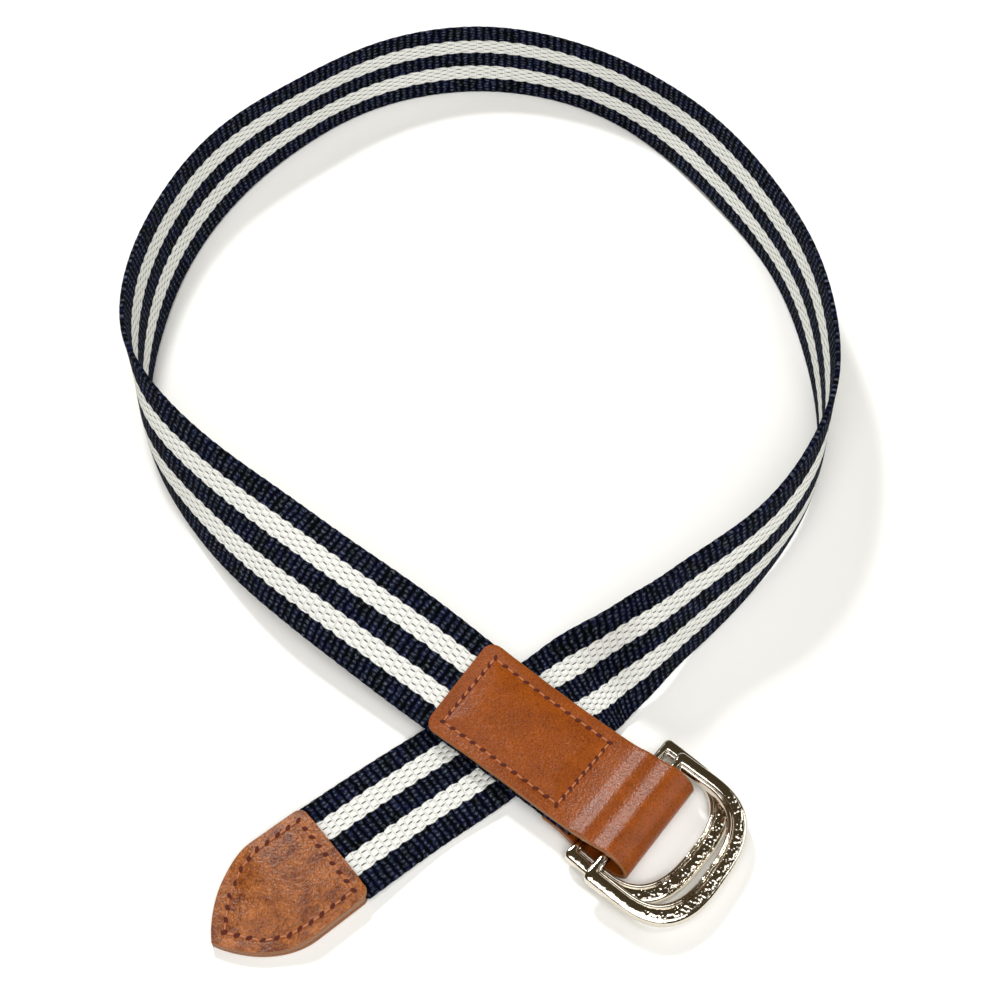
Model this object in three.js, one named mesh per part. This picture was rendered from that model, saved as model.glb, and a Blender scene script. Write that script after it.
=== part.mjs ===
// A striped webbing belt with two D rings, lying in a loop with its ends crossed.
// Millimetres, +Z up, the table at z = 0, the origin under the middle of the part's box.
import * as THREE from 'three';

// Driving dimensions: the webbing, the leather and the rings
const strapWidth = 32;
const strapThickness = 1.8;
const strapEdgeRound = 0.7;
const leatherThickness = 1.2;
const layerGap = 0.3;

const tabWidth = 32;
const tabFrontLength = 44;
const tabCornerRadius = 3.5;
const tabFlapPastSeam = 2.5;
const tabFlapCornerRadius = 1.2;
const strapPastSeam = 7;

const tipWidth = 31.2;
const tipLength = 37.3;
const tipStraightLength = 16.3;
const tipCornerRadius = 2.5;
const tipPointWidth = 0.8;
const strapInsideTip = 15.8;
const tipStepLength = 5;

const ringWidth = 46.6;
const ringDepth = 28.9;
const ringLegWidth = 4.6;
const ringFarWidth = 5.2;
const ringThickness = 3;
const ringOuterCorner = 1.6;
const ringInnerCorner = 0.6;
const ringLegEnd = 8;
const ringFarPower = 2.75;

// The middle of the loop's box, in the coordinates of the route below
const boxMiddle = { x: -10, y: 58.1 };

// The strap's middle line, from past the tab's fold to the tip's point. lean is 0 where the strap
// lies flat and 90 where it stands on its lower edge, lift is that edge's height, and bow is how far
// the strap bulges outwards between its two edges.
const routeRows = [
  { x: 47.5, y: -124, lean: 0, lift: 4.5, bow: 0 },
  { x: 24, y: -105.5, lean: 0, lift: 4.4, bow: 0 },
  { x: 7, y: -92, lean: 1.5, lift: 4.6, bow: 0 },
  { x: -10, y: -79, lean: 9.3, lift: 4.6, bow: 0.2 },
  { x: -26, y: -68.1, lean: 22, lift: 5.2, bow: 0.9 },
  { x: -58.5, y: -45, lean: 33.7, lift: 6.8, bow: 3.2 },
  { x: -89.7, y: -16.6, lean: 57.9, lift: 2.5, bow: 1.8 },
  { x: -115.2, y: 13.9, lean: 78.3, lift: 1.8, bow: 2.6 },
  { x: -127.2, y: 44.5, lean: 93.1, lift: 0.2, bow: -0.5 },
  { x: -132.4, y: 82, lean: 100.8, lift: 0.6, bow: -0.2 },
  { x: -130.3, y: 127.8, lean: 101.3, lift: 0.1, bow: 0.9 },
  { x: -116.1, y: 177.3, lean: 99.8, lift: 0.3, bow: 1.2 },
  { x: -93.2, y: 215.1, lean: 90.6, lift: 0.1, bow: 0.9 },
  { x: -56.8, y: 253.3, lean: 89.5, lift: 0.1, bow: 0.9 },
  { x: -13.6, y: 268.6, lean: 92.1, lift: 0, bow: 1.4 },
  { x: 32.2, y: 254.7, lean: 88.1, lift: 0, bow: 0.4 },
  { x: 68.4, y: 220.1, lean: 93.2, lift: 0.1, bow: 0.9 },
  { x: 91.1, y: 177, lean: 97.8, lift: 1.2, bow: -0.3 },
  { x: 108.8, y: 128.1, lean: 94.3, lift: 0.1, bow: -0.7 },
  { x: 114.2, y: 84.4, lean: 94, lift: 2, bow: -0.1 },
  { x: 112.2, y: 36.2, lean: 89.4, lift: 0, bow: -0.9 },
  { x: 100.5, y: -2.6, lean: 84.1, lift: 1.9, bow: 1.6 },
  { x: 77.4, y: -35.4, lean: 79.3, lift: 0.8, bow: 1.2 },
  { x: 55.7, y: -55.9, lean: 69.7, lift: 0.9, bow: 0.9 },
  { x: 39.8, y: -69.5, lean: 56.1, lift: 1.8, bow: -0.6 },
  { x: 31.9, y: -72.5, lean: 37.3, lift: 0, bow: -3 },
  { x: 20.7, y: -78.5, lean: 8.3, lift: 1.8, bow: -0.9 },
  { x: 8, y: -86.6, lean: 0, lift: 1.8, bow: -0.3 },
  { x: -5, y: -97.7, lean: 0, lift: 0.9, bow: 0 },
  { x: -19.5, y: -108.5, lean: 0, lift: 0.1, bow: 0 },
  { x: -42, y: -127.5, lean: 0, lift: 1.5, bow: 0 },
  { x: -70, y: -150.5, lean: 0, lift: 1.5, bow: 0 },
];
const seamStation = 29.9;
const strapStep = 6.5;

// The tab's middle line seen from its side: along from the cross seam towards the fold, rise above
// the strap's middle. It runs over the ring bars, round the fold and back under the strap.
const tabRows = [
  { along: -tabFrontLength, rise: 1.8 },
  { along: -20, rise: 1.8 },
  { along: 4, rise: 1.85 },
  { along: 12, rise: 2.65 },
  { along: 18.5, rise: 3.95 },
  { along: 23.2, rise: 2.5 },
  { along: 24.8, rise: -0.6 },
  { along: 22.8, rise: -3.4 },
  { along: 17, rise: -4.25 },
  { along: 9.5, rise: -4.15 },
  { along: 3.5, rise: -2 },
  { along: -tabFlapPastSeam, rise: -1.8 },
];
const tabStep = 2.5;

// Where each ring's bar lies in the tab: its middle, height, heading and fall towards the far side
const ringPlaces = [
  { name: 'ring_lower', x: 34.1, y: -110.8, z: 3.6, heading: -40.6, tilt: 4.3 },
  { name: 'ring_upper', x: 37.7, y: -117.4, z: 6.8, heading: -37.6, tilt: 5.5 },
];

const materials = {
  webbing: new THREE.MeshStandardMaterial({ color: 0x1b2140, roughness: 0.85, metalness: 0 }),
  leather: new THREE.MeshStandardMaterial({ color: 0xa0561f, roughness: 0.5, metalness: 0 }),
  nickel: new THREE.MeshStandardMaterial({ color: 0xc9c5bd, roughness: 0.2, metalness: 1 }),
};

// Returns the function that runs a natural cubic spline through (at, value)
function naturalSpline(at, value) {
  const count = at.length;
  const bend = new Array(count).fill(0);
  const carry = new Array(count).fill(0);
  for (let i = 1; i < count - 1; i++) {
    const before = at[i] - at[i - 1];
    const after = at[i + 1] - at[i];
    const pull = 6 * ((value[i + 1] - value[i]) / after - (value[i] - value[i - 1]) / before);
    const pivot = 2 * (before + after) - before * carry[i - 1];
    carry[i] = after / pivot;
    bend[i] = (pull - before * bend[i - 1]) / pivot;
  }
  for (let i = count - 2; i > 0; i--) {
    bend[i] -= carry[i] * bend[i + 1];
  }
  return (x) => {
    let k = 0;
    while (k < count - 2 && x > at[k + 1]) k++;
    const span = at[k + 1] - at[k];
    const a = at[k + 1] - x;
    const b = x - at[k];
    return (bend[k] * a ** 3 + bend[k + 1] * b ** 3) / (6 * span)
      + (value[k] / span - (bend[k] * span) / 6) * a
      + (value[k + 1] / span - (bend[k + 1] * span) / 6) * b;
  };
}

// Splines through the named columns of a table, by the straight distance between its rows
function splineTable(rows, placeColumns, otherColumns = []) {
  const at = [0];
  for (let i = 1; i < rows.length; i++) {
    const steps = placeColumns.map((column) => rows[i][column] - rows[i - 1][column]);
    at.push(at[i - 1] + Math.hypot(...steps));
  }
  const curves = {};
  for (const column of [...placeColumns, ...otherColumns]) {
    curves[column] = naturalSpline(at, rows.map((row) => row[column]));
  }
  return { curves, length: at[at.length - 1] };
}

const route = splineTable(routeRows, ['x', 'y'], ['lean', 'lift', 'bow']);
const tipStation = route.length - tipLength;

// A place in the strap's cross-section, by its bow: [towards its upper edge, to its outside]
function sectionPlace(width, rise, bow) {
  const half = strapWidth / 2;
  const slope = (-2 * bow * width) / half ** 2;
  const scale = Math.hypot(1, slope);
  return [
    width * (1 - (2 / 3) * (bow / half) ** 2) - (rise * slope) / scale,
    bow * (1 / 3 - (width / half) ** 2) + rise / scale,
  ];
}

// The strap's frame at a station: its middle, its direction, the way to its upper edge, its outside.
// From the tip's base on it is straight and flat.
function strapFrame(station) {
  const { x, y, lean, lift, bow } = route.curves;
  const s = Math.min(station, tipStation);
  const inTip = s >= tipStation;
  const angle = inTip ? 0 : THREE.MathUtils.degToRad(lean(s));
  const height = inTip ? leatherThickness + layerGap : Math.max(lift(s), 0);
  const sectionBow = inTip ? 0 : bow(s);
  const middle = (at) => new THREE.Vector3(x(at) - boxMiddle.x, y(at) - boxMiddle.y, 0);
  const direction = middle(s + 0.5).sub(middle(s - 0.5)).normalize();
  const flatAcross = new THREE.Vector3(direction.y, -direction.x, 0);
  const across = flatAcross.multiplyScalar(Math.cos(angle));
  across.z = Math.sin(angle);
  const outside = new THREE.Vector3().crossVectors(across, direction);
  const flat = strapWidth / 2 - strapEdgeRound;
  const lowEdge = [[-strapWidth / 2, 0], [-flat, -strapThickness / 2], [-flat, strapThickness / 2]]
    .map(([width, rise]) => sectionPlace(width, rise, sectionBow))
    .map(([width, rise]) => width * across.z + rise * outside.z);
  const centre = middle(s).setZ(height - Math.min(...lowEdge));
  centre.addScaledVector(direction, station - s);
  return { centre, direction, across, outside, bow: sectionBow };
}

// A point beside the strap's middle line: width towards its upper edge, rise on its outside
function strapPoint(station, width, rise) {
  const frame = strapFrame(station);
  const [along, out] = sectionPlace(width, rise, frame.bow);
  return frame.centre.addScaledVector(frame.across, along).addScaledVector(frame.outside, out);
}

// Joins equal rings of points into one closed body, with flat ends or with its ends joined
function loft(rings, endsJoined = false) {
  const sides = rings[0].length;
  const positions = rings.flat().flatMap((point) => [point.x, point.y, point.z]);
  const index = [];
  const last = endsJoined ? rings.length : rings.length - 1;
  for (let i = 0; i < last; i++) {
    const here = i * sides;
    const next = ((i + 1) % rings.length) * sides;
    for (let j = 0; j < sides; j++) {
      const k = (j + 1) % sides;
      index.push(here + j, next + j, next + k, here + j, next + k, here + k);
    }
  }
  if (!endsJoined) {
    const end = (rings.length - 1) * sides;
    for (let j = 1; j < sides - 1; j++) {
      index.push(0, j, j + 1, end, end + j + 1, end + j);
    }
  }
  const geometry = new THREE.BufferGeometry();
  geometry.setAttribute('position', new THREE.Float32BufferAttribute(positions, 3));
  geometry.setIndex(signedVolume(positions, index) < 0 ? index.reverse() : index);
  geometry.computeVertexNormals();
  return geometry;
}

function signedVolume(positions, index) {
  const corner = (i) => new THREE.Vector3().fromArray(positions, 3 * index[i]);
  let volume = 0;
  for (let i = 0; i < index.length; i += 3) {
    volume += corner(i).dot(corner(i + 1).cross(corner(i + 2))) / 6;
  }
  return volume;
}

// Even steps from one value to another, no longer than the given step
function steps(from, to, step) {
  const count = Math.ceil(Math.abs(to - from) / step);
  return Array.from({ length: count + 1 }, (_, i) => from + ((to - from) * i) / count);
}

// How much a straight side is drawn in near a rounded corner, by the distance from the end
function cornerInset(distance, radius) {
  if (distance >= radius) return 0;
  return radius - Math.sqrt(radius ** 2 - (radius - distance) ** 2);
}

// The distances from an end at which a rounded corner is sampled
function cornerSteps(radius) {
  return [0, 0.07, 0.29, 0.62, 1].map((share) => share * radius);
}

function strapGeometry() {
  const half = strapWidth / 2;
  const flat = half - strapEdgeRound;
  const rise = strapThickness / 2;
  const face = [1, 0.6, 0.2, -0.2, -0.6, -1].map((share) => share * flat);
  const section = [
    [half, 0],
    ...face.map((width) => [width, rise]),
    [-half, 0],
    ...face.toReversed().map((width) => [width, -rise]),
  ];
  const first = seamStation - strapPastSeam;
  const rings = steps(first, tipStation + strapInsideTip, strapStep)
    .map((station) => section.map(([width, height]) => strapPoint(station, width, height)));
  return loft(rings);
}

// The folded leather: a strip of even thickness carried along the tab's side line
function tabGeometry() {
  const { curves, length } = splineTable(tabRows, ['along', 'rise']);
  const half = leatherThickness / 2;
  const stations = [
    ...cornerSteps(tabCornerRadius),
    ...steps(tabCornerRadius, length - tabFlapCornerRadius, tabStep).slice(1),
    ...cornerSteps(tabFlapCornerRadius).toReversed().slice(1).map((distance) => length - distance),
  ];
  const rings = stations.map((at) => {
    const side = new THREE.Vector2(
      curves.along(at + 0.1) - curves.along(at - 0.1),
      curves.rise(at + 0.1) - curves.rise(at - 0.1),
    ).normalize();
    const inset = cornerInset(at, tabCornerRadius) + cornerInset(length - at, tabFlapCornerRadius);
    const width = tabWidth / 2 - inset;
    const section = [[1, 1], [0.4, 1], [-0.4, 1], [-1, 1], [-1, -1], [-0.4, -1], [0.4, -1], [1, -1]];
    return section.map(([across, face]) => strapPoint(
      seamStation - curves.along(at) + side.y * half * face,
      width * across,
      curves.rise(at) + side.x * half * face,
    ));
  });
  return loft(rings);
}

// Half the tip's width: rounded shoulders, straight sides, then curves that meet at the point
function tipHalfWidth(along) {
  const shoulder = tipWidth / 2 - cornerInset(along, tipCornerRadius);
  if (along <= tipStraightLength) return shoulder;
  const share = Math.min((along - tipStraightLength) / (tipLength - tipStraightLength), 1);
  return Math.max((tipWidth / 2) * (1 - share ** 2) ** 0.85, tipPointWidth / 2);
}

// One layer of the tip. The front layer steps down past the strap's cut end, the back one lies flat
function tipGeometry(face) {
  const away = (strapThickness + leatherThickness) / 2 + layerGap;
  const closed = away - strapThickness - layerGap;
  const stepEnd = strapInsideTip + tipStepLength;
  const alongs = [
    ...cornerSteps(tipCornerRadius),
    ...steps(tipCornerRadius, strapInsideTip, 6).slice(1),
    ...steps(strapInsideTip, stepEnd, 1.25).slice(1),
    ...steps(stepEnd, tipLength - 2, 2).slice(1),
    tipLength - 1, tipLength - 0.4, tipLength,
  ];
  const half = leatherThickness / 2;
  const rings = alongs.map((along) => {
    const drop = THREE.MathUtils.smoothstep(along, strapInsideTip, stepEnd);
    const middle = face > 0 ? away - drop * (away - closed) : -away;
    const width = tipHalfWidth(along);
    return [[1, 1], [-1, 1], [-1, -1], [1, -1]]
      .map(([across, side]) => strapPoint(tipStation + along, width * across, middle + half * side));
  });
  return loft(rings);
}

// A ring's outer and inner edge in pairs of points: x along its bar, y away from the bar's middle
function ringEdges() {
  const bar = ringThickness / 2;
  const outer = ringWidth / 2;
  const inner = outer - ringLegWidth;
  const outerFar = ringDepth - bar;
  const innerFar = outerFar - ringFarWidth;
  const barEnd = inner - ringInnerCorner - 0.1;
  const edges = [[[0, -bar], [0, bar]], [[barEnd, -bar], [barEnd, bar]]];
  for (const turn of [0, 0.25, 0.5, 0.75, 1]) {
    const [across, back] = [Math.sin(turn * Math.PI / 2), Math.cos(turn * Math.PI / 2)];
    edges.push([
      [outer - ringOuterCorner * (1 - across), ringOuterCorner * (1 - back) - bar],
      [inner - ringInnerCorner * (1 - across), ringInnerCorner * (1 - back) + bar],
    ]);
  }
  for (let i = 0; i <= 9; i++) {
    const angle = (i / 9) * Math.PI / 2;
    const [side, far] = [Math.cos(angle) ** (2 / ringFarPower), Math.sin(angle) ** (2 / ringFarPower)];
    edges.push([
      [outer * side, ringLegEnd + (outerFar - ringLegEnd) * far],
      [inner * side, ringLegEnd + (innerFar - ringLegEnd) * far],
    ]);
  }
  const otherHalf = edges.slice(1, -1).reverse().map((pair) => pair.map(([x, y]) => [-x, y]));
  return [...edges, ...otherHalf].map((pair) => pair.map(([x, y]) => new THREE.Vector2(x, y)));
}

// The ring's cross-section: round on the bar, a band with flat sides and a domed top elsewhere.
// The first value runs from -1 at the inner edge to 1 at the outer, the second is a height.
function ringSection(share) {
  const high = ringThickness / 2;
  const band = [
    [1, 0.4 - high], [1, 0.5], [0.72, high - 0.2], [0.1, high], [-0.56, high - 0.35],
    [-0.8, 1], [-1, 0.3], [-1, 0.4 - high], [-0.8, -high], [0.8, -high],
  ];
  const turns = [-20, 12, 50, 90, 128, 150, 172, 205, 240, 300];
  return band.map(([across, rise], i) => {
    const angle = THREE.MathUtils.degToRad(turns[i]);
    return [
      THREE.MathUtils.lerp(Math.cos(angle), across, share),
      THREE.MathUtils.lerp(Math.sin(angle) * high, rise, share),
    ];
  });
}

function ringGeometry() {
  const rings = ringEdges().map(([outer, inner]) => {
    const halfWidth = outer.distanceTo(inner) / 2;
    const share = THREE.MathUtils.smoothstep(halfWidth, ringThickness / 2, ringLegWidth / 2);
    const middle = outer.clone().add(inner).divideScalar(2);
    const toOuter = outer.clone().sub(middle);
    return ringSection(share).map(([across, rise]) => new THREE.Vector3(
      middle.x + toOuter.x * across,
      middle.y + toOuter.y * across,
      rise,
    ));
  });
  return loft(rings, true);
}

// A ring set down: its bar across the tab, its far side away from the tab and slightly lower
function ringMesh({ name, x, y, z, heading, tilt }) {
  const ring = new THREE.Mesh(ringGeometry(), materials.nickel);
  ring.name = name;
  ring.position.set(x - boxMiddle.x, y - boxMiddle.y, z);
  const turn = THREE.MathUtils.degToRad(heading - 90);
  ring.rotation.set(THREE.MathUtils.degToRad(-tilt), 0, turn, 'ZYX');
  return ring;
}

function softMesh(name, geometry, material) {
  const mesh = new THREE.Mesh(geometry, material);
  mesh.name = name;
  return mesh;
}

const belt = new THREE.Group();
belt.add(softMesh('strap', strapGeometry(), materials.webbing));
belt.add(softMesh('tab_leather', tabGeometry(), materials.leather));
belt.add(softMesh('tip_front', tipGeometry(1), materials.leather));
belt.add(softMesh('tip_back', tipGeometry(-1), materials.leather));
for (const place of ringPlaces) {
  belt.add(ringMesh(place));
}

export default belt;
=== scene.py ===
import math

import bpy
import numpy as np
from mathutils import Matrix


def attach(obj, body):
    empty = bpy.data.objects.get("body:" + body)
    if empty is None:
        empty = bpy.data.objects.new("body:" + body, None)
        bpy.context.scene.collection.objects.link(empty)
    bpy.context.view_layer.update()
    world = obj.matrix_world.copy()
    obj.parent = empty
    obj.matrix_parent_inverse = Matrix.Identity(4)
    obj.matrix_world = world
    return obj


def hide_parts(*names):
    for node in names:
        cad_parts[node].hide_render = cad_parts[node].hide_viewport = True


# A striped webbing belt with a stitched leather tab, two nickel rings and a leather tip, lying in a
# loop. Shapes are worked out in millimetres, and turned to metres when they become meshes.
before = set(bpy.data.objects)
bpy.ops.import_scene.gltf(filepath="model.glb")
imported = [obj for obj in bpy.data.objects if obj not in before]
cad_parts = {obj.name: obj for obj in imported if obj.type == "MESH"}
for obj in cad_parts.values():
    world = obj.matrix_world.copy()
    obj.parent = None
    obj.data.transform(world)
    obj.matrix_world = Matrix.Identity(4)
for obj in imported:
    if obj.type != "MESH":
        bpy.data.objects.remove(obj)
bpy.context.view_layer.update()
MM = 0.001

# Sizes, as in the part's source
STRAP_WIDTH = 32.0
STRAP_THICKNESS = 1.8
STRAP_EDGE_ROUND = 0.7
LEATHER_THICKNESS = 1.2
LAYER_GAP = 0.3
SEAM_STATION = 29.9
STRAP_PAST_SEAM = 7.0

TAB_WIDTH = 32.0
TAB_FRONT_LENGTH = 44.0
TAB_CORNER_RADIUS = 3.5
TAB_FLAP_CORNER_RADIUS = 1.2

TIP_WIDTH = 31.2
TIP_LENGTH = 37.3
TIP_STRAIGHT_LENGTH = 16.3
TIP_CORNER_RADIUS = 2.5
TIP_POINT_WIDTH = 0.8
STRAP_INSIDE_TIP = 15.8
TIP_STEP_LENGTH = 11.0

RING_WIDTH = 46.6
RING_DEPTH = 28.9
RING_LEG_WIDTH = 4.6
RING_FAR_WIDTH = 5.2
RING_THICKNESS = 3.0
RING_OUTER_CORNER = 1.6
RING_INNER_CORNER = 0.6
RING_LEG_END = 8.0
RING_FAR_POWER = 2.75

# The middle of the loop's box in the route's coordinates
BOX_MIDDLE = (-10.0, 58.1)

# The strap's middle line: x, y, lean from flat in degrees, lift of the lower edge, bow of the section
ROUTE = np.array([
    (47.5, -124, 0, 4.5, 0), (24, -105.5, 0, 4.4, 0), (7, -92, 1.5, 4.6, 0),
    (-10, -79, 9.3, 4.6, 0.2), (-26, -68.1, 22, 5.2, 0.9), (-58.5, -45, 33.7, 6.8, 3.2),
    (-89.7, -16.6, 57.9, 2.5, 1.8), (-115.2, 13.9, 78.3, 1.8, 2.6), (-127.2, 44.5, 93.1, 0.2, -0.5),
    (-132.4, 82, 100.8, 0.6, -0.2), (-130.3, 127.8, 101.3, 0.1, 0.9),
    (-116.1, 177.3, 99.8, 0.3, 1.2), (-93.2, 215.1, 90.6, 0.1, 0.9), (-56.8, 253.3, 89.5, 0.1, 0.9),
    (-13.6, 268.6, 92.1, 0, 1.4), (32.2, 254.7, 88.1, 0, 0.4), (68.4, 220.1, 93.2, 0.1, 0.9),
    (91.1, 177, 97.8, 1.2, -0.3), (108.8, 128.1, 94.3, 0.1, -0.7), (114.2, 84.4, 94, 2, -0.1),
    (112.2, 36.2, 89.4, 0, -0.9), (100.5, -2.6, 84.1, 1.9, 1.6), (77.4, -35.4, 79.3, 0.8, 1.2),
    (55.7, -55.9, 69.7, 0.9, 0.9), (39.8, -69.5, 56.1, 1.8, -0.6), (31.9, -72.5, 37.3, 0, -3),
    (20.7, -78.5, 8.3, 1.8, -0.9), (8, -86.6, 0, 1.8, -0.3), (-5, -97.7, 0, 0.9, 0),
    (-19.5, -108.5, 0, 0.1, 0), (-42, -127.5, 0, 1.5, 0), (-70, -150.5, 0, 1.5, 0),
])

# The tab's middle line from its side: along from the seam to the fold, rise over the strap's middle
TAB_LINE = np.array([
    (-44, 1.8), (-20, 1.8), (4, 1.85), (12, 2.65), (18.5, 3.95), (23.2, 2.5),
    (24.8, -0.6), (22.8, -3.4), (17, -4.25), (9.5, -4.15), (3.5, -2), (-2.5, -1.8),
])

# The weave's repeat along the strap, in millimetres, by the station
WEAVE_PITCH = np.array([
    (0, 4.6), (115, 4.65), (180, 5.4), (340, 6.8), (680, 7.0), (870, 5.4), (922, 5.0), (940, 4.1),
    (955, 3.25), (985, 3.9), (1030, 4.15),
])

# The light stripes' borders and middle, from the strap's middle, and how soft the borders are
STRIPE_INNER = 3.5
STRIPE_MIDDLE = 6.31
STRIPE_OUTER = 8.95
STRIPE_BULGE = 0.5
STRIPE_BLUR = 0.22

# The weave's cells across the strap: the light floats and the dark ribs' specks
FLOAT_WIDTH = 1.94
SPECK_SPACING = 1.36

# The stitches: half of a stitch's length along the seam on the tab and on the tip, and their rise
TAB_HALF_STITCH = 1.8
TIP_HALF_STITCH = 1.6
HOLE_RISE = 0.13

# Each ring's bar: x, y, z, heading and fall towards the far side in degrees
RING_PLACES = {
    "lower_ring": (34.1, -110.8, 3.6, -40.6, 4.3),
    "upper_ring": (37.7, -117.4, 6.8, -37.6, 5.5),
}


# Curves and the strap's frame
def natural_spline(at, value):
    """The natural cubic spline through (at, value). On each span it is the cubic whose second
    derivatives at the two rows solve one linear system, and are zero at both ends of the table."""
    gap = np.diff(at)
    inner = np.arange(1, len(at) - 1)
    system = np.eye(len(at))
    system[inner, inner - 1] = gap[:-1]
    system[inner, inner] = 2 * (gap[:-1] + gap[1:])
    system[inner, inner + 1] = gap[1:]
    pull = np.zeros(len(at))
    pull[1:-1] = 6 * np.diff(np.diff(value) / gap)
    bend = np.linalg.solve(system, pull)

    def curve(x):
        k = np.clip(np.searchsorted(at, x, side="left") - 1, 0, len(at) - 2)
        span, a, b = gap[k], at[k + 1] - x, x - at[k]
        return ((bend[k] * a ** 3 + bend[k + 1] * b ** 3) / (6 * span)
                + (value[k] / span - bend[k] * span / 6) * a
                + (value[k + 1] / span - bend[k + 1] * span / 6) * b)

    return curve


def table_splines(table):
    """Splines through each column, by the straight distance between the rows' first two columns."""
    at = np.concatenate([[0], np.cumsum(np.hypot(*np.diff(table[:, :2], axis=0).T))])
    return [natural_spline(at, table[:, i]) for i in range(table.shape[1])], at[-1]


(route_x, route_y, route_lean, route_lift, route_bow), ROUTE_LENGTH = table_splines(ROUTE)
(tab_along, tab_rise), TAB_LENGTH = table_splines(TAB_LINE)
TIP_STATION = ROUTE_LENGTH - TIP_LENGTH


def smooth(low, high, x):
    """The smooth step 3t^2 - 2t^3 of x from low to high."""
    t = np.clip((x - low) / (high - low), 0, 1)
    return t * t * (3 - 2 * t)


def unit(v):
    return v / np.linalg.norm(v, axis=-1, keepdims=True)


def section_place(width, rise, bow):
    """A place in the bent cross-section: the middle line is the arc's parabola
    bow (1/3 - (w/h)^2), and the rise stands square on it."""
    half = STRAP_WIDTH / 2
    slope = -2 * bow * width / half ** 2
    scale = np.hypot(1, slope)
    return (width * (1 - (2 / 3) * (bow / half) ** 2) - rise * slope / scale,
            bow * (1 / 3 - (width / half) ** 2) + rise / scale)


def strap_point(station, width, rise):
    """A point beside the strap's middle line. The frame at a station has the line's direction T, the
    way across B = cos(lean) (Ty, -Tx, 0) + sin(lean) Z, and the outside N = B x T; the middle stands
    so high that the lower edge is at its lift. The point is centre + across B + out N."""
    station, width, rise = np.broadcast_arrays(*(np.asarray(a, float) for a in (station, width, rise)))
    s = np.minimum(station, TIP_STATION)
    flat = s >= TIP_STATION
    lean = np.where(flat, 0, np.radians(route_lean(s)))
    lift = np.where(flat, LEATHER_THICKNESS + LAYER_GAP, np.maximum(route_lift(s), 0))
    bow = np.where(flat, 0, route_bow(s))
    zero = np.zeros_like(s)

    def middle(at):
        return np.stack([route_x(at) - BOX_MIDDLE[0], route_y(at) - BOX_MIDDLE[1], zero], -1)

    direction = unit(middle(s + 0.5) - middle(s - 0.5))
    across = np.stack([direction[..., 1] * np.cos(lean), -direction[..., 0] * np.cos(lean),
                       np.sin(lean)], -1)
    outside = np.cross(across, direction)
    edge, face = STRAP_WIDTH / 2, STRAP_THICKNESS / 2
    corners = [(-edge, 0), (STRAP_EDGE_ROUND - edge, -face), (STRAP_EDGE_ROUND - edge, face)]
    places = [section_place(w, r, bow) for w, r in corners]
    low = np.min([a * across[..., 2] + o * outside[..., 2] for a, o in places], axis=0)
    centre = middle(s) + direction * (station - s)[..., None]
    centre[..., 2] += lift - low
    place = section_place(width, rise, bow)
    return centre + across * place[0][..., None] + outside * place[1][..., None]


def corner_inset(distance, radius):
    """How far a side is drawn in near a rounded corner: the circle's r - sqrt(r^2 - (r - d)^2)."""
    left = np.clip(radius - distance, 0, radius)
    return radius - np.sqrt(radius ** 2 - left ** 2)


def weave_repeats(station):
    """How many repeats of the weave lie before a station: the running sum of 1 / pitch, where the
    pitch in millimetres runs straight between the rows of a table."""
    at = np.linspace(0, 1100, 1101)
    pitch = np.interp(at, WEAVE_PITCH[:, 0], WEAVE_PITCH[:, 1])
    count = np.concatenate([[0], np.cumsum(2 / (pitch[1:] + pitch[:-1]))])
    return np.interp(station, at, count)


def slab_section(across_steps, edge_steps):
    """A slab's cross-section as three rows: flat and edge, which times the flat half width and the
    edge's rounding add up to the place across, and face, which times half the thickness is the
    height. It runs over the top, round one half-round edge, along the bottom and round the other."""
    line = np.linspace(-1, 1, across_steps + 1)
    turn = np.linspace(math.pi / 2, -math.pi / 2, edge_steps + 1)[1:-1]
    one = np.ones_like(line)
    flat = np.concatenate([line, np.ones_like(turn), -line, -np.ones_like(turn)])
    edge = np.concatenate([0 * line, np.cos(turn), 0 * line, -np.cos(turn)])
    face = np.concatenate([one, np.sin(turn), -one, -np.sin(turn)])
    return flat, edge, face


# Meshes
def tube_faces(rings, sides, joined=False):
    """Quads between neighbouring rings of points, and one flat face over each open end."""
    last = rings if joined else rings - 1
    i, j = np.meshgrid(np.arange(last), np.arange(sides), indexing="ij")
    here, after = i * sides, (i + 1) % rings * sides
    k = (j + 1) % sides
    quads = np.stack([here + j, here + k, after + k, after + j], -1).reshape(-1, 4)
    faces = quads.tolist()
    if not joined:
        ends = np.arange(sides)
        faces += [ends[::-1].tolist(), (ends + (rings - 1) * sides).tolist()]
    return faces


def outward(points, faces):
    """The faces, turned round if the volume that they enclose comes out negative."""
    quads = np.array([face for face in faces if len(face) == 4])
    a, b, c, d = (points[quads[:, n]] for n in range(4))
    volume = np.einsum("ij,ij->", a, np.cross(b, c)) + np.einsum("ij,ij->", a, np.cross(c, d))
    return [face[::-1] for face in faces] if volume < 0 else faces


def piece(name, points, faces, body, material, uv=None, values=None):
    """Makes a mesh object of points in millimetres. uv is a pair of surface coordinates and values
    holds named numbers, both one to a point. The piece rides on a body."""
    mesh = bpy.data.meshes.new(name)
    mesh.from_pydata((points * MM).tolist(), [], faces)
    mesh.polygons.foreach_set("use_smooth", np.ones(len(faces), bool))
    if uv is not None:
        corner = np.empty(len(mesh.loops), int)
        mesh.loops.foreach_get("vertex_index", corner)
        layer = mesh.uv_layers.new(name="weave")
        layer.data.foreach_set("uv", uv[corner].astype(np.float32).ravel())
    for key, numbers in (values or {}).items():
        mesh.attributes.new(key, "FLOAT", "POINT").data.foreach_set("value", numbers.astype(np.float32))
    mesh.materials.append(material)
    mesh.update()
    thing = bpy.data.objects.new(name, mesh)
    bpy.context.scene.collection.objects.link(thing)
    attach(thing, body)
    return thing


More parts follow.
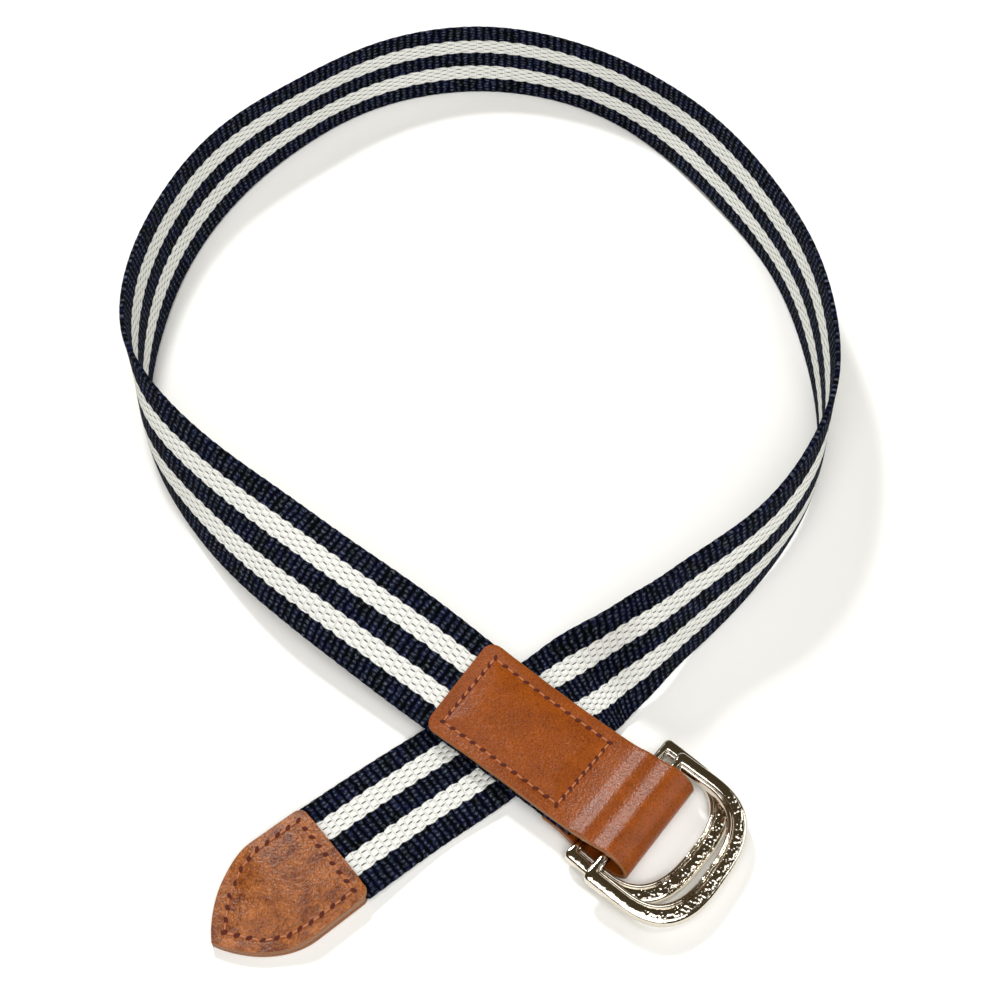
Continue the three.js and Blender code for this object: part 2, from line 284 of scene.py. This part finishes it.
# Materials
def colour(code):
    """A #rrggbb colour as linear RGBA, by the sRGB curve."""
    value = np.array([int(code[i:i + 2], 16) / 255 for i in (1, 3, 5)])
    linear = np.where(value <= 0.04045, value / 12.92, ((value + 0.055) / 1.055) ** 2.4)
    return (*linear.tolist(), 1.0)


def add(tree, kind, sockets, out=0, **settings):
    """Adds one node, with its settings, and with numbers or links on its sockets."""
    node = tree.nodes.new("ShaderNode" + kind)
    for key, value in settings.items():
        setattr(node, key, value)
    for key, value in sockets.items():
        if isinstance(value, bpy.types.NodeSocket):
            tree.links.new(value, node.inputs[key])
        else:
            node.inputs[key].default_value = value
    return node.outputs[out] if node.outputs else None


def new_material(name):
    material = bpy.data.materials.new(name)
    material.use_nodes = True
    tree = material.node_tree
    tree.nodes.clear()
    return material, tree


def finish_material(tree, shader):
    add(tree, "OutputMaterial", {"Surface": shader})


def column_cells(tree, place, pitch, shift):
    """Cells in columns across the strap, two columns to a repeat of the weave. The cells of a column
    are one pitch apart, and each column starts a share of the pitch further on than the last. Gives
    each point's distance from its cell's middle as shares of the cell: across in x, along in y."""
    parts = add(tree, "SeparateXYZ", {0: place}).node
    column = add(tree, "Math", {0: parts.outputs[0], 1: 2.0}, operation="MULTIPLY")
    number = add(tree, "Math", {0: column}, operation="FLOOR")
    run = add(tree, "Math", {0: parts.outputs[1], 1: pitch}, operation="DIVIDE")
    run = add(tree, "Math", {0: number, 1: shift, 2: run}, operation="MULTIPLY_ADD")
    cell = add(tree, "CombineXYZ", {0: run, 1: column})
    cell = add(tree, "VectorMath", {0: cell}, operation="FRACTION")
    cell = add(tree, "VectorMath", {0: cell, 1: (0.5, 0.5, 0)}, operation="SUBTRACT")
    return add(tree, "VectorMath", {0: cell}, operation="ABSOLUTE")


def cell_mask(tree, cell, low, high, start=(1, 1)):
    """The product of two smooth steps over a cell, one from low to high on each axis: 1 near the
    middle and 0 outside, or the other way round on an axis whose start is 0."""
    mask = add(tree, "MapRange", {
        "Vector": cell, 7: (*low, 0), 8: (*high, 1), 9: (*start, 1), 10: (1 - start[0], 1 - start[1], 0),
    }, out=1, data_type="FLOAT_VECTOR", interpolation_type="SMOOTHSTEP")
    parts = add(tree, "SeparateXYZ", {0: mask}).node
    return add(tree, "Math", {0: parts.outputs[0], 1: parts.outputs[1]}, operation="MULTIPLY")


def woven_cotton_webbing():
    """Cotton belt webbing, woven of thick plied yarn in navy and off-white. Matt, with bright rounded
    floats and dark gaps in the light stripes, and in the dark ones ribs with pale specks of weft."""
    material, tree = new_material("woven_cotton_webbing")
    flat = add(tree, "UVMap", {}, uv_map="weave")
    in_mm = add(tree, "VectorMath", {0: flat, 1: (4.6, 1, 1)}, operation="MULTIPLY")
    # The yarns wander by a tenth of a millimetre or so, and their hairs by less
    wander = add(tree, "TexNoise", {"Vector": in_mm, "Scale": 0.5, "Detail": 4.0, "Roughness": 0.6},
                 out=1)
    wander = add(tree, "VectorMath", {0: wander, 1: (0.5, 0.5, 0.5)}, operation="SUBTRACT")
    place = add(tree, "VectorMath", {0: wander, 1: (0.2, 0.7, 0), 2: flat}, operation="MULTIPLY_ADD")
    parts = add(tree, "SeparateXYZ", {0: place}).node
    repeat, across = parts.outputs[0], parts.outputs[1]
    distance = add(tree, "Math", {0: across}, operation="ABSOLUTE")
    fibre = add(tree, "TexNoise", {"Vector": in_mm, "Scale": 3.2, "Detail": 3.0, "Roughness": 0.7})

    # The light stripes' borders bulge by 0.5 mm once in each repeat, in turn on their two sides
    edges = []
    for shift, side in ((0.0, 1), (0.5, -1)):
        turn = add(tree, "Math", {0: repeat, 1: shift}, operation="ADD")
        turn = add(tree, "Math", {0: turn, 1: math.pi}, operation="MULTIPLY")
        turn = add(tree, "Math", {0: turn}, operation="SINE")
        bulge = add(tree, "Math", {0: turn}, operation="ABSOLUTE")
        bulge = add(tree, "Math", {0: bulge, 1: STRIPE_BULGE * side, 2: distance}, operation="MULTIPLY_ADD")
        edges.append(bulge)
    inner = add(tree, "MapRange", {0: edges[0], 1: STRIPE_INNER, 2: STRIPE_INNER + STRIPE_BLUR})
    outer = add(tree, "MapRange", {
        0: edges[1], 1: STRIPE_OUTER, 2: STRIPE_OUTER + STRIPE_BLUR, 3: 1.0, 4: 0.0,
    })
    light = add(tree, "Math", {0: inner, 1: outer}, operation="MULTIPLY")

    # Light stripes: floats half a repeat long and 1.94 mm wide, with thin dark gaps between them
    floats = column_cells(tree, place, FLOAT_WIDTH, 0.5)
    gap = cell_mask(tree, floats, (0.37, 0.22), (0.48, 0.44), (0, 1))
    seam = cell_mask(tree, floats, (0.3, 0.36), (0.5, 0.5), (1, 0))
    middle = add(tree, "Math", {0: distance, 1: STRIPE_MIDDLE}, operation="SUBTRACT")
    middle = add(tree, "Math", {0: middle}, operation="ABSOLUTE")
    inside = add(tree, "MapRange", {0: middle, 1: 1.7, 2: 2.8, 3: 1.0, 4: 0.4})
    gap = add(tree, "Math", {0: gap, 1: inside}, operation="MULTIPLY")
    cotton = add(tree, "MixRGB", {0: fibre, 1: colour("#e4e5df"), 2: colour("#f5f6f2")})
    cotton = add(tree, "MixRGB", {0: seam, 1: cotton, 2: colour("#d6d6cc")})
    pale = add(tree, "MixRGB", {0: gap, 1: cotton, 2: colour("#24231d")})

    # Dark stripes: one rib to each column, with specks of weft 1.36 mm apart along it, less even
    frayed = add(tree, "VectorMath", {0: wander, 1: (0.6, 1.6, 0), 2: flat}, operation="MULTIPLY_ADD")
    ribs = column_cells(tree, frayed, SPECK_SPACING, 0.4)
    speck = cell_mask(tree, ribs, (0.1, 0.04), (0.46, 0.36))
    fade = add(tree, "TexNoise", {"Vector": in_mm, "Scale": 1.1, "Detail": 3.0})
    fade = add(tree, "MapRange", {0: fade, 1: 0.42, 2: 0.6, 3: 0.15, 4: 1.0})
    speck = add(tree, "Math", {0: speck, 1: fade}, operation="MULTIPLY")
    rib = cell_mask(tree, ribs, (2.0, 0.15), (3.0, 0.5))
    tint = add(tree, "TexNoise", {"Vector": in_mm, "Scale": 0.2, "Detail": 3.0})
    tint = add(tree, "MapRange", {0: tint, 1: 0.4, 2: 0.6})
    navy = add(tree, "MixRGB", {0: tint, 1: colour("#070e12"), 2: colour("#0d1233")})
    navy = add(tree, "MixRGB", {0: rib, 1: colour("#020304"), 2: navy})
    dark = add(tree, "MixRGB", {0: speck, 1: navy, 2: colour("#5b6270")})
    cloth = add(tree, "MixRGB", {0: light, 1: dark, 2: pale})

    # Relief: floats and ribs stand about 0.3 mm high
    crown = cell_mask(tree, floats, (0.05, 0.25), (0.72, 0.85))
    knot = add(tree, "Math", {0: speck, 1: rib}, operation="ADD")
    height = add(tree, "MixRGB", {0: light, 1: knot, 2: crown})
    height = add(tree, "Math", {0: fibre, 1: 0.3, 2: height}, operation="MULTIPLY_ADD")
    relief = add(tree, "Bump", {"Height": height, "Strength": 1.0, "Distance": 0.0004})
    shader = add(tree, "BsdfPrincipled", {
        "Base Color": cloth, "Roughness": 0.9, "IOR": 1.5, "Specular IOR Level": 0.04,
        "Normal": relief,
    })
    finish_material(tree, shader)
    return material


def tanned_leather(name, dark, light, clouds, grain_scale, grain_depth):
    """Vegetable-tanned cowhide, aniline dyed and polished: orange brown and cloudy, with pores and a
    fine grain, a broad soft sheen, and a duller, browner line where the edge was cut. The clouds and
    the grain are set by how many go to a metre, and the grain's depth is in metres."""
    material, tree = new_material(name)
    place = add(tree, "TexCoord", {}, out=3)
    cloud = add(tree, "TexNoise", {"Vector": place, "Scale": clouds, "Detail": 5.0, "Roughness": 0.65})
    cloud = add(tree, "MapRange", {0: cloud, 1: 0.36, 2: 0.64})
    skin = add(tree, "MixRGB", {0: cloud, 1: colour(dark), 2: colour(light)})
    # Pores and fine grain, 0.4 to 0.7 mm across
    grain = add(tree, "TexNoise", {
        "Vector": place, "Scale": grain_scale, "Detail": 3.0, "Roughness": 0.65,
    })
    speckle = add(tree, "MapRange", {0: grain, 1: 0.35, 2: 0.65, 3: 0.68, 4: 1.28})
    skin = add(tree, "MixRGB", {0: 1.0, 1: skin, 2: speckle}, blend_type="MULTIPLY")
    cut = add(tree, "Attribute", {}, out=2, attribute_name="cut_edge")
    skin = add(tree, "MixRGB", {0: cut, 1: skin, 2: colour("#8a5830")})
    cells = add(tree, "TexVoronoi", {"Vector": place, "Scale": 1500.0}, feature="SMOOTH_F1")
    height = add(tree, "Math", {0: grain, 1: cells}, operation="ADD")
    relief = add(tree, "Bump", {"Height": height, "Strength": 0.8, "Distance": grain_depth})
    gloss = add(tree, "MapRange", {0: grain, 1: 0.3, 2: 0.7, 3: 0.24, 4: 0.38})
    shader = add(tree, "BsdfPrincipled", {
        "Base Color": skin, "Roughness": gloss, "IOR": 1.5, "Specular IOR Level": 0.42,
        "Normal": relief,
    })
    finish_material(tree, shader)
    return material


def waxed_thread():
    """Waxed polyester sewing thread in a reddish tan, twisted of plies, slightly glossy."""
    material, tree = new_material("waxed_thread")
    place = add(tree, "TexCoord", {}, out=3)
    ply = add(tree, "TexNoise", {"Vector": place, "Scale": 3000.0, "Detail": 2.0})
    tan = add(tree, "MixRGB", {0: ply, 1: colour("#96421f"), 2: colour("#cc8a5c")})
    shader = add(tree, "BsdfPrincipled", {"Base Color": tan, "Roughness": 0.5})
    finish_material(tree, shader)
    return material


def awl_hole_shade():
    """Painted shade of a punched hole: a dark red brown, matt colour that stands for the shade inside the
    hole over its raw fibre.
    """
    material, tree = new_material("awl_hole_shade")
    place = add(tree, "TexCoord", {}, out=3)
    fibre = add(tree, "TexNoise", {"Vector": place, "Scale": 2500.0, "Detail": 1.0})
    brown = add(tree, "MixRGB", {0: fibre, 1: colour("#330c04"), 2: colour("#621c08")})
    shader = add(tree, "BsdfPrincipled", {"Base Color": brown, "Roughness": 0.9})
    finish_material(tree, shader)
    return material


def polished_nickel():
    """Nickel plate on a cast ring: a warm mirror, slightly uneven and finely scuffed, so it shows
    broken dark and light streaks. The band's far side is dimpled, which gives it small sparks."""
    material, tree = new_material("polished_nickel_plate")
    place = add(tree, "TexCoord", {}, out=3)
    swell = add(tree, "TexNoise", {"Vector": place, "Scale": 300.0, "Detail": 3.0})
    # Dimples 0.9 mm apart, only where the ring's own attribute has them
    dimples = add(tree, "TexVoronoi", {"Vector": place, "Scale": 1100.0}, feature="SMOOTH_F1")
    where = add(tree, "Attribute", {}, out=2, attribute_name="dimpled")
    dimples = add(tree, "Math", {0: dimples, 1: where}, operation="MULTIPLY")
    height = add(tree, "Math", {0: dimples, 1: 1.6, 2: swell}, operation="MULTIPLY_ADD")
    relief = add(tree, "Bump", {"Height": height, "Strength": 0.6, "Distance": 0.0003})
    scuff = add(tree, "TexNoise", {"Vector": place, "Scale": 1500.0, "Detail": 4.0, "Roughness": 0.7})
    gloss = add(tree, "MapRange", {0: scuff, 1: 0.4, 2: 0.7, 3: 0.06, 4: 0.16})
    tone = add(tree, "MixRGB", {0: scuff, 1: colour("#cfc6b6"), 2: colour("#efe9dd")})
    shader = add(tree, "BsdfPrincipled", {
        "Base Color": tone, "Metallic": 1.0, "Roughness": gloss, "Normal": relief,
    })
    finish_material(tree, shader)
    return material


# Pieces
def strap_piece(material):
    """The webbing: a slab section with half-round edges carried along the route. The half width grows
    and shrinks by 0.2 mm at the edges twice in each repeat of the weave, where the weft turns back,
    and it is trimmed by an eighth inside the tip."""
    first, last = SEAM_STATION - STRAP_PAST_SEAM, TIP_STATION + STRAP_INSIDE_TIP
    station = np.linspace(first, last, int((last - first) / 0.64) + 1)[:, None]
    flat, edge, face = slab_section(14, 6)
    width = flat * (STRAP_WIDTH / 2 - STRAP_EDGE_ROUND) + edge * STRAP_EDGE_ROUND
    repeats = weave_repeats(station)
    turns = 0.12 * np.abs(np.sin(math.tau * repeats)) + 0.06 * np.sin(math.tau * repeats + 1)
    width = width + (turns - 0.1) * np.sign(width) * (np.abs(width) / 16) ** 8
    trimmed = smooth(TIP_STATION + 0.5, TIP_STATION + 2.5, station)
    width = width * (1 - trimmed / 8)
    rise = face * STRAP_THICKNESS / 2 + 0 * station
    points = strap_point(station, width, rise).reshape(-1, 3)
    uv = np.stack([repeats + 0 * width, width / (1 - trimmed / 8)], -1).reshape(-1, 2)
    faces = outward(points, tube_faces(len(station), len(flat)))
    strap = piece("strap_webbing", points, faces, "belt", material, uv)
    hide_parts("strap")


def pressed_relief(inset, dome):
    """How a stitched panel's top rises: a groove 0.16 mm deep where the stitches pull it down, 4 mm
    from the outline, and a soft crown inside it."""
    return dome * smooth(4.0, 10.0, inset) - 0.16 * np.exp(-((inset - 4.0) / 1.0) ** 2)


def bar_humps(along):
    """How the leather rises where it was pulled tight over the two ring bars, with a hollow between:
    a sum of bells h exp(-((a - middle) / width)^2)."""
    humps = ((0.75, 10.4, 2.7), (-0.1, 14.9, 1.6), (0.3, 18.4, 1.8))
    return sum(high * np.exp(-((along - middle) / width) ** 2) for high, middle, width in humps)


def tab_piece(material):
    """The folded tab: a slab section of the leather's thickness carried along the tab's side line,
    which runs over the ring bars, round the fold and back, with its corners rounded."""
    at = np.concatenate([
        np.linspace(0, TAB_CORNER_RADIUS, 10)[:-1] ** 2 / TAB_CORNER_RADIUS,
        np.linspace(TAB_CORNER_RADIUS, TAB_LENGTH - TAB_FLAP_CORNER_RADIUS, 210),
        TAB_LENGTH - np.linspace(TAB_FLAP_CORNER_RADIUS, 0, 6)[1:],
    ])[:, None]
    side = unit(np.stack([tab_along(at + 0.1) - tab_along(at - 0.1),
                          tab_rise(at + 0.1) - tab_rise(at - 0.1)], -1))
    half = (TAB_WIDTH / 2 - corner_inset(at, TAB_CORNER_RADIUS)
            - corner_inset(TAB_LENGTH - at, TAB_FLAP_CORNER_RADIUS))
    flat, edge, face = slab_section(44, 8)
    width = flat * (half - 0.4) + edge * 0.4
    inset = np.minimum(np.minimum(half - np.abs(width), at), np.maximum(44.0 - at, 0) + 4)
    relief = pressed_relief(inset, 0.45) * smooth(50.0, 44.0, at) * np.maximum(face, 0)
    relief = relief + bar_humps(at - 44.0) * np.maximum(face, 0)
    reach = LEATHER_THICKNESS / 2 * face + relief
    station = SEAM_STATION - tab_along(at) + side[..., 1] * reach
    points = strap_point(station, width, tab_rise(at) + side[..., 0] * reach).reshape(-1, 3)
    cut = np.where(np.abs(face) < 0.95, 1.0, 0.0) + 0 * at
    cut[0] = cut[-1] = 1.0
    faces = outward(points, tube_faces(len(at), len(flat)))
    tab = piece("tab_leather_panel", points, faces, "belt", material,
                values={"cut_edge": cut.ravel()})
    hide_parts("tab_leather")


def tip_half_width(along):
    """Half the tip's width: straight with rounded shoulders, then (w/2)(1 - t^2)^0.85 to the point."""
    shoulder = TIP_WIDTH / 2 - corner_inset(along, TIP_CORNER_RADIUS)
    t = np.clip((along - TIP_STRAIGHT_LENGTH) / (TIP_LENGTH - TIP_STRAIGHT_LENGTH), 0, 1)
    curve = np.maximum(TIP_WIDTH / 2 * (1 - t ** 2) ** 0.85, TIP_POINT_WIDTH / 2)
    return np.where(along <= TIP_STRAIGHT_LENGTH, shoulder, curve)


def tip_step(along):
    """How far the front layer has come down past the strap's cut end, from 0 to 1."""
    return smooth(STRAP_INSIDE_TIP, STRAP_INSIDE_TIP + TIP_STEP_LENGTH, along)


def tip_middle(along, side):
    """The height of a tip layer's middle: on the strap as far as its cut end, then stepped down."""
    away = (STRAP_THICKNESS + LEATHER_THICKNESS) / 2 + LAYER_GAP
    step = tip_step(along) * (STRAP_THICKNESS + LAYER_GAP)
    return away - step if side > 0 else -away + 0 * along


def tip_top(along, width):
    """The height of the front layer's top over the strap's middle, with its crown and groove. The
    rim is pressed down by 0.6 mm beside the strap, and past it the crown is 0.8 mm higher."""
    beside = tip_half_width(along) - np.abs(width)
    step = tip_step(along)
    relief = pressed_relief(np.minimum(beside, along), 0.3)
    relief = relief - 0.6 * (1 - step) * smooth(3.5, 0.3, beside)
    relief = relief + 0.8 * step * smooth(4.5, 14.0, beside)
    return tip_middle(along, 1) + LEATHER_THICKNESS / 2 + relief


def tip_piece(name, side, material):
    """One leather layer of the tip: a slab section as wide as the tip's outline at each distance. The
    front layer's rim reaches down past the strap's edges, to 0.2 mm over the back layer."""
    along = np.concatenate([
        np.linspace(0, TIP_CORNER_RADIUS, 9)[:-1] ** 2 / TIP_CORNER_RADIUS,
        np.linspace(TIP_CORNER_RADIUS, TIP_LENGTH - 1, 80)[:-1],
        TIP_LENGTH - np.linspace(1, 0, 10) ** 1.6,
    ])[:, None]
    half = tip_half_width(along)
    flat, edge, face = slab_section(36, 8)
    round_edge = np.minimum(0.4, half / 2)
    width = flat * (half - round_edge) + edge * round_edge
    rise = tip_middle(along, side) + LEATHER_THICKNESS / 2 * face
    if side > 0:
        top = tip_top(along, width) - tip_middle(along, 1) - LEATHER_THICKNESS / 2
        rise = rise + top * np.maximum(face, 0)
        rim = smooth(half - 1.5, half - 0.8, np.abs(width)) * smooth(0.2, -0.8, face)
        rise = rise - rim * (1 - tip_step(along)) * (STRAP_THICKNESS + LAYER_GAP) * smooth(0, 2, along)
    points = strap_point(TIP_STATION + along, width, rise).reshape(-1, 3)
    cut = np.where(np.abs(face) < 0.95, 1.0, 0.0) + 0 * along
    cut[0] = cut[-1] = 1.0
    faces = outward(points, tube_faces(len(along), len(flat)))
    layer = piece(name + "_leather", points, faces, "belt", material,
                  values={"cut_edge": cut.ravel()})
    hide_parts(name)


def stitch_frames(surface, corners, counts):
    """Places and axes of stitches along straight runs between corners in a panel's own (along, width)
    coordinates: the run's direction on the surface, the way to its side, and the surface's normal."""
    runs = []
    for (start, end), count in zip(zip(corners[:-1], corners[1:]), counts):
        share = (np.arange(count) + 0.5)[:, None] / count
        runs.append(np.hstack([start + (np.subtract(end, start)) * share,
                               np.tile(np.subtract(end, start), (count, 1))]))
    runs = np.concatenate(runs)
    spot, way = runs[:, :2], unit(runs[:, 2:])
    here = surface(spot[:, 0], spot[:, 1])
    ahead = unit(surface(*(spot + way * 0.2).T) - here)
    beside = surface(*(spot + way[:, ::-1] * (-0.2, 0.2)).T) - here
    normal = unit(np.cross(ahead, beside))
    normal = normal * np.sign(normal[:, 2:])
    return here, ahead, np.cross(normal, ahead), normal


def repeated(name, frames, shape, material):
    """One small shape, set down at every place in its axes."""
    local, faces = shape
    here, ahead, beside, normal = frames
    points = (here[:, None] + local[:, :1] * ahead[:, None] + local[:, 1:2] * beside[:, None]
              + local[:, 2:] * normal[:, None])
    offsets = np.arange(len(here)) * len(local)
    all_faces = [[v + start for v in face] for start in offsets.tolist() for face in faces]
    return piece(name, points.reshape(-1, 3), all_faces, "belt", material)


def thread_shape(length, radius):
    """A stitch: a round thread of the given length, arched by h (1 - u^4) over the leather, with its
    ends pulled down into the holes."""
    u = np.linspace(-1, 1, 9)[:, None]
    turn = np.arange(8) / 8 * math.tau
    thick = radius * (1 - 0.55 * u ** 6)
    x = u * length / 2 + 0 * turn
    y = thick * np.cos(turn)
    z = thick * np.sin(turn) + radius * 1.3 * (1 - u ** 4) - radius
    points = np.stack([x, y + 0 * u, z], -1).reshape(-1, 3)
    return points, outward(points, tube_faces(9, 8))


def hole_shape(length, width, slant):
    """An awl hole's painted shade: a flat dark lens of the given length and width, turned by the slant from
    the seam.
    """
    rise = np.linspace(-1, 1, 5)[:, None]
    size = np.sqrt(1.04 - rise ** 2)
    turn = np.arange(10) / 10 * math.tau
    x, y = size * np.cos(turn) * length / 2, size * np.sin(turn) * width / 2
    c, s = math.cos(slant), math.sin(slant)
    points = np.stack([x * c - y * s, x * s + y * c, 0.07 * rise + 0 * turn], -1).reshape(-1, 3)
    return points, outward(points, tube_faces(5, 10))


def ring_edges():
    """The ring's outer and inner edge in pairs of points, x along the bar and y away from it: the
    straight bar, round corners, and a far side that is a superellipse of power 2.75."""
    bar, outer = RING_THICKNESS / 2, RING_WIDTH / 2
    inner = outer - RING_LEG_WIDTH
    outer_far = RING_DEPTH - bar
    inner_far = outer_far - RING_FAR_WIDTH
    bar_end = inner - RING_INNER_CORNER - 0.1
    x = np.linspace(0, bar_end, 12)[:-1]
    pairs = [np.stack([x, -bar + 0 * x, x, bar + 0 * x], -1)]
    turn = np.linspace(0, math.pi / 2, 13)
    across, back = 1 - np.sin(turn), 1 - np.cos(turn)
    pairs.append(np.stack([outer - RING_OUTER_CORNER * across, RING_OUTER_CORNER * back - bar,
                           inner - RING_INNER_CORNER * across, RING_INNER_CORNER * back + bar], -1))
    angle = np.linspace(0, math.pi / 2, 41)
    side = np.abs(np.cos(angle)) ** (2 / RING_FAR_POWER)
    far = np.sin(angle) ** (2 / RING_FAR_POWER)
    pairs.append(np.stack([outer * side, RING_LEG_END + (outer_far - RING_LEG_END) * far,
                           inner * side, RING_LEG_END + (inner_far - RING_LEG_END) * far], -1))
    half = np.concatenate(pairs)
    return np.concatenate([half, half[-2:0:-1] * (-1, 1, -1, 1)])


def ring_profile():
    """The band's section over one closed line of points: the place u from -1 at the inner edge to 1
    at the outer, the height, and the angle of the same point on the bar's circle. The top is a broad
    dome 1.5 - 0.55 (u - 0.1)^2 that rounds off at the outer edge as a quarter ellipse, with a groove
    and a narrow lip inside it."""
    u = np.concatenate([1 - 0.3 * np.linspace(0, 1, 8) ** 2, np.linspace(0.62, -0.42, 12),
                        np.linspace(-0.46, -0.66, 7), np.linspace(-0.7, -0.99, 8)])
    dome = 1.5 - 0.55 * (u - 0.1) ** 2 - 0.75 * (1 - np.sqrt(1 - (np.clip(u - 0.7, 0, 0.3) / 0.3) ** 2))
    groove = 0.5 * np.exp(-((u + 0.54) / 0.075) ** 2)
    lip = 1.25 - 0.9 * (1 - np.sqrt(1 - (np.clip(-0.72 - u, 0, 0.28) / 0.28) ** 2))
    top = np.where(u > -0.54, dome, lip) - groove
    walls = np.array([[-1, -0.1], [-1, -1.0], [-0.92, -1.4]])
    bottom = np.stack([np.linspace(-0.75, 0.75, 7), np.full(7, -1.5)], -1)
    line = np.concatenate([np.stack([u, top], -1), walls, bottom, walls[::-1] * (-1, 1)])
    angle = np.concatenate([np.linspace(12, 170, len(u)), np.linspace(178, 212, 3),
                            np.linspace(222, 318, 7), np.linspace(328, 362, 3)])
    return line[:, 0], line[:, 1], np.radians(angle)


def ring_piece(body, material):
    """A ring: its section is a circle on the bar and turns into the rim and bevel of the band as it
    gets wider, and it is carried along the pairs of edge points."""
    x_out, y_out, x_in, y_in = (ring_edges()[:, i, None] for i in range(4))
    half_width = np.hypot(x_out - x_in, y_out - y_in) / 2
    share = smooth(RING_THICKNESS / 2, RING_LEG_WIDTH / 2, half_width)
    band, band_height, angle = ring_profile()
    out = np.cos(angle) * (1 - share) + band * share
    rise = RING_THICKNESS / 2 * np.sin(angle) * (1 - share) + band_height * share
    points = np.stack([
        (x_out + x_in) / 2 + (x_out - x_in) / 2 * out,
        (y_out + y_in) / 2 + (y_out - y_in) / 2 * out,
        rise,
    ], -1).reshape(-1, 3)
    x, y, z, heading, tilt = RING_PLACES[body]
    fall, turn_round = math.radians(-tilt), math.radians(heading - 90)
    rotation = np.array(Matrix.Rotation(turn_round, 3, "Z") @ Matrix.Rotation(fall, 3, "X"))
    points = points @ rotation.T + (x - BOX_MIDDLE[0], y - BOX_MIDDLE[1], z)
    faces = outward(points, tube_faces(len(x_out), len(band), joined=True))
    depth = (y_out + y_in) / 2
    dimpled = smooth(13, 18, depth) * (np.abs(band - 0.12) < 0.5)
    ring = piece(body + "_nickel", points, faces, body, material,
                 values={"dimpled": dimpled.ravel()})
    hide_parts("ring_" + body.split("_")[0])


webbing = woven_cotton_webbing()
tab_hide = tanned_leather("polished_tab_leather", "#803b04", "#934705", 130.0, 2300.0, 0.0001)
tip_hide = tanned_leather("worn_tip_leather", "#642b06", "#a8622a", 200.0, 1500.0, 0.00022)
thread = waxed_thread()
hole = awl_hole_shade()
nickel = polished_nickel()

strap_piece(webbing)
tab_piece(tab_hide)
tip_piece("tip_front", 1, tip_hide)
tip_piece("tip_back", -1, tip_hide)
ring_piece("lower_ring", nickel)
ring_piece("upper_ring", nickel)


def tab_surface(along, width):
    inset = np.minimum(np.minimum(TAB_WIDTH / 2 - np.abs(width), along + TAB_FRONT_LENGTH), 4 - along)
    return strap_point(SEAM_STATION - along, width, 2.4 + pressed_relief(inset, 0.45))


def tip_surface(along, width):
    return strap_point(TIP_STATION + along, width, tip_top(along, width))


tab_corners = [(0, -12), (-40, -12), (-40, 12), (0, 12), (0, -12)]
tab_frames = stitch_frames(tab_surface, tab_corners, [11, 8, 11, 8])
repeated("tab_stitches", tab_frames, thread_shape(2.2, 0.3), thread)

tip_line = np.array([(3.0, -12.5), (16.0, -12.5), (21.5, -11.3), (27.6, -7.6), (33.6, 0)])
tip_corners = [*tip_line.tolist(), *(tip_line[-2::-1] * (1, -1)).tolist(), (3.0, -12.5)]
tip_frames = stitch_frames(tip_surface, tip_corners, [4, 2, 2, 3, 3, 2, 2, 4, 8])
repeated("tip_stitches", tip_frames, thread_shape(2.1, 0.3), thread)


def between(frames, half_stitch):
    """The same places moved on by half a stitch, to where one thread ends and the next begins, and
    up by the holes' rise, so that they show over the leather's faces."""
    here, ahead, beside, normal = frames
    return here + ahead * half_stitch + normal * HOLE_RISE, ahead, beside, normal


# Dark lenses of painted shade laid over the leather where the awl holes are, between the threads
slot_in_leather = hole_shape(1.8, 1.05, 0.5)
repeated("tab_stitch_hole_shade", between(tab_frames, TAB_HALF_STITCH), slot_in_leather, hole)
repeated("tip_stitch_hole_shade", between(tip_frames, TIP_HALF_STITCH), slot_in_leather, hole)

# Floor, lights and camera
paper, tree = new_material("white_paper_floor")
grey = add(tree, "TexNoise", {"Vector": add(tree, "TexCoord", {}, out=3), "Scale": 3.0})
grey = add(tree, "MixRGB", {0: grey, 1: colour("#fafaf7"), 2: colour("#fcfcf9")})
finish_material(tree, add(tree, "BsdfPrincipled", {"Base Color": grey, "Roughness": 0.9}))
bpy.ops.mesh.primitive_plane_add(size=6)
floor = bpy.context.object
floor.name = "floor"
floor.data.materials.append(paper)

world = bpy.data.worlds.new("studio")
bpy.context.scene.world = world
world.use_nodes = True
world.node_tree.nodes["Background"].inputs["Color"].default_value = colour("#bfa880")
world.node_tree.nodes["Background"].inputs["Strength"].default_value = 0.12


def softbox(name, place, size, power):
    """A rectangular light of the given size and power in watts, turned to the origin."""
    lamp = bpy.data.lights.new(name, "AREA")
    lamp.shape = "RECTANGLE"
    lamp.size, lamp.size_y = size
    lamp.energy = power
    light = bpy.data.objects.new(name, lamp)
    light.location = place
    aim = unit(-np.array(place))
    side = unit(np.cross(aim, (0, 0, 1)))
    up = np.cross(side, aim)
    light.rotation_euler = Matrix(np.stack([side, up, -aim], -1).tolist()).to_euler()
    bpy.context.scene.collection.objects.link(light)


softbox("key_softbox", (-0.45, 0.9, 1.05), (0.2, 0.2), 12.5)
softbox("overhead_softbox", (0.1, -0.95, 2.0), (2.4, 1.7), 37.0)
softbox("front_softbox", (-0.15, -1.25, 0.75), (1.3, 0.8), 6.6)
softbox("right_softbox", (1.25, 0.1, 0.7), (0.8, 0.8), 4.0)

camera = bpy.data.objects.new("camera", bpy.data.cameras.new("camera"))
camera.data.lens = 42.816
camera.data.sensor_width = 36
camera.data.clip_start = 0.01
pitch, roll = math.radians(47.870), math.radians(0.969)
forward = np.array([0, math.cos(pitch), -math.sin(pitch)])
right = np.array([1.0, 0, 0])
up = np.array([0, math.sin(pitch), math.cos(pitch)])
columns = [right * math.cos(roll) + up * math.sin(roll), up * math.cos(roll) - right * math.sin(roll),
           -forward]
camera.matrix_world = (Matrix.Translation((0.0101, -0.3246, 0.2948))
                       @ Matrix(np.stack(columns, -1).tolist()).to_4x4())
bpy.context.scene.collection.objects.link(camera)
bpy.context.scene.camera = camera
bpy.context.scene.view_settings.view_transform = "Standard"
